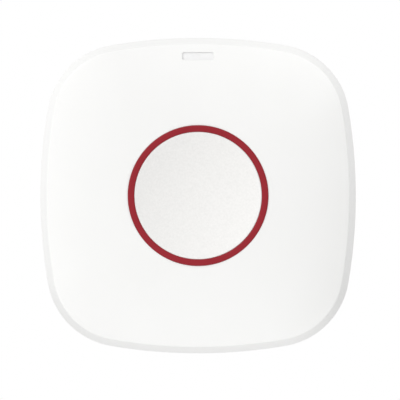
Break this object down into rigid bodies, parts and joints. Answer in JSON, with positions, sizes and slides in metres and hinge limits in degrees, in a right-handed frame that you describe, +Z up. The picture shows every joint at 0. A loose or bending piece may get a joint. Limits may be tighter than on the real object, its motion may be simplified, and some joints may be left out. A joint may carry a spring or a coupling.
{
  "type": "wireless panic button",
  "caption": "Wall panic button: domed white housing with a dished push cap in a red ring, a lamp window, and a wall plate that it slides onto.",
  "frame": {"origin": "middle of the face of the wall plate that lies on the wall", "axes": "+Z up the wall, +Y into the wall, +X to the right as seen from in front; the face looks along -Y"},
  "size_m": [0.066, 0.021, 0.066],
  "materials": {
    "white_shell": "fine matte texture",
    "cap_plastic": "fine matte speckle",
    "red_trim": "satin",
    "light_guide": "milky, translucent",
    "silicone": "matte, translucent",
    "carbon_pill": "matte",
    "board_laminate": "solder mask",
    "gold_plate": "bright",
    "chip_plastic": "matte",
    "spring_steel": "nickel plated",
    "screw_steel": "zinc plated",
    "cell_can": "bright"
  },
  "bodies": {
    "wall_plate": {"wall_plate": "white_shell"},
    "housing": {"rear_housing": "white_shell", "front_cover": "white_shell", "indicator_window": "light_guide", "button_ring": "red_trim", "return_pad": "silicone", "circuit_board": "board_laminate", "contact_pads": "gold_plate", "radio_module": "spring_steel", "microcontroller": "chip_plastic", "board_parts": "chip_plastic", "antenna": "spring_steel", "indicator_led": "light_guide", "tamper_switch": "chip_plastic", "coin_cell": "cell_can", "battery_contact_positive": "spring_steel", "battery_contact_negative": "spring_steel", "housing_screws": "screw_steel", "board_screws": "screw_steel"},
    "button": {"button_cap": "cap_plastic", "contact_pill": "carbon_pill"},
    "battery_cover": {"battery_cover": "white_shell"},
    "tamper_pin": {"tamper_pin": "white_shell"}
  },
  "joints": [
    {"name": "housing_slide", "type": "slide", "parent": "wall_plate", "child": "housing", "axis": [0, 0, 1], "range_m": [0, 0.004]},
    {"name": "button_press", "type": "slide", "parent": "housing", "child": "button", "axis": [0, 1, 0], "range_m": [0, 0.001], "stiffness_N_per_m": 1500, "springref_m": -0.0005, "deforming": ["return_pad"]},
    {"name": "battery_cover_turn", "type": "hinge", "parent": "housing", "child": "battery_cover", "pos_m": [0, 0, 0], "axis": [0, 1, 0], "range_deg": [0, 45]},
    {"name": "tamper_release", "type": "slide", "parent": "housing", "child": "tamper_pin", "axis": [0, 1, 0], "range_m": [0, 0.0012]}
  ],
  "couplings": [
    {"joint": "tamper_release", "follows": "housing_slide", "ratio": 0.3}
  ]
}
